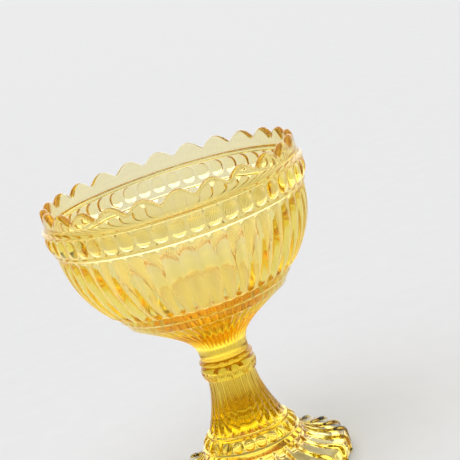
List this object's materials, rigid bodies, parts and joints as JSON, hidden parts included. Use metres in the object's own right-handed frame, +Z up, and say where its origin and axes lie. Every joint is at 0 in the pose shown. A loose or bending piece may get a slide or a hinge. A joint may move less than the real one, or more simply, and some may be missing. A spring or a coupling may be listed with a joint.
{
  "type": "footed dessert bowl",
  "caption": "Footed dessert bowl in clear amber pressed glass, with a scalloped rim, a beaded band, a fluted body, a slim collared stem and a hollow ribbed foot.",
  "frame": {"origin": "centre of the foot's underside, on the surface that the bowl stands on", "axes": "+Z up along the axis of the bowl and stem; +X through the peak of one scallop and one rib of the foot"},
  "size_m": [0.1196, 0.1196, 0.148],
  "materials": {
    "amber_glass": "clear, fire polished"
  },
  "bodies": {
    "root": {"bowl": "amber_glass", "collar": "amber_glass", "stand": "amber_glass"}
  },
  "joints": []
}
